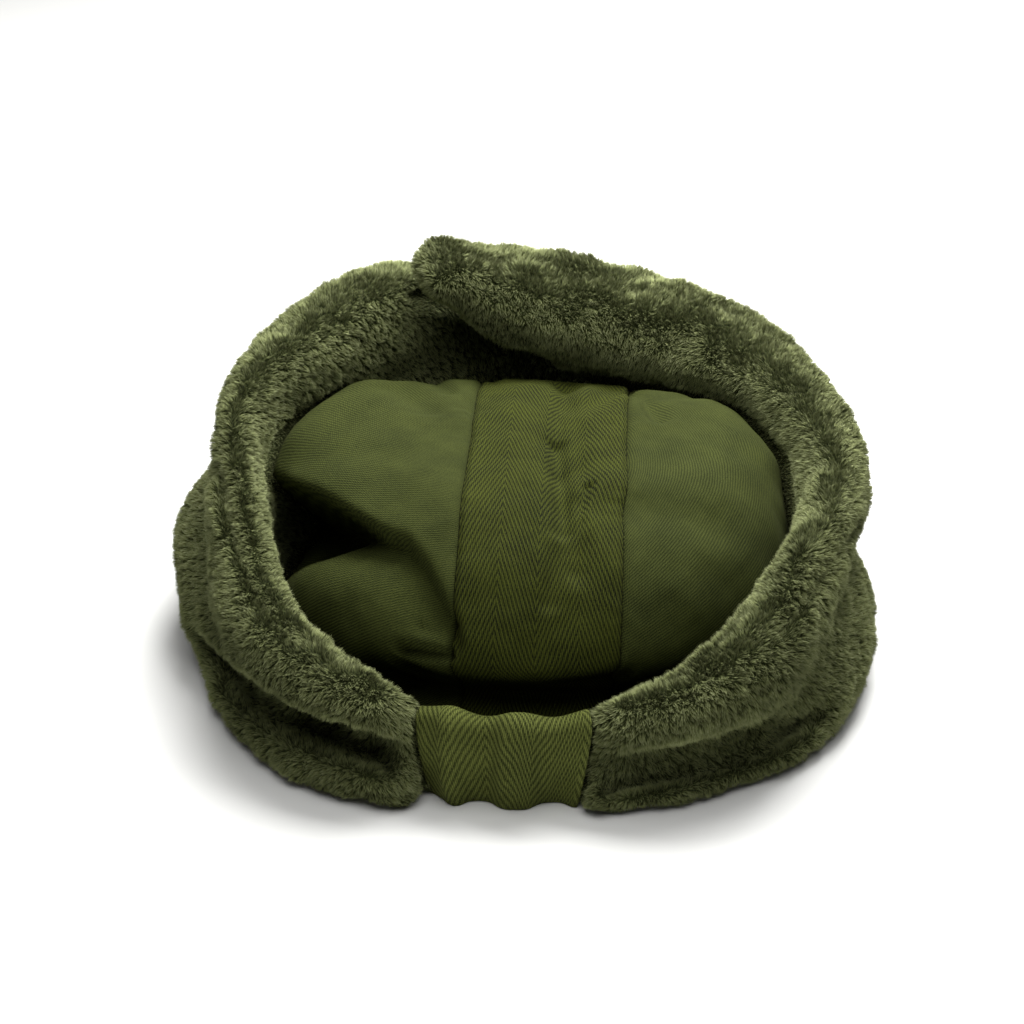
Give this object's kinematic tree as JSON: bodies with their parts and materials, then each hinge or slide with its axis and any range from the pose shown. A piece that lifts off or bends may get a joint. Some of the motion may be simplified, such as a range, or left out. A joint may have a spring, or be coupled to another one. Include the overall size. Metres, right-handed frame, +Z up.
{
  "type": "winter field cap",
  "caption": "Soft cloth cap with a woven centre strip, standing inside deep-pile ear flaps that are turned up and overlap at the front, with a gathered back tab.",
  "frame": {"origin": "on the surface the cap rests on, under the middle of its bounding box", "axes": "+Z up, +Y towards the front of the cap, +X towards the wearer's right; the back tab is at -Y"},
  "size_m": [0.2584, 0.2526, 0.1095],
  "materials": {
    "twill": "matte plain twill",
    "herringbone": "matte herringbone twill",
    "pile": "deep soft pile"
  },
  "bodies": {
    "root": {"crown_strip": "herringbone", "crown_panel_left": "twill", "crown_panel_right": "twill", "ear_flap_left": "pile", "ear_flap_right": "pile", "back_tab": "herringbone"}
  },
  "joints": []
}
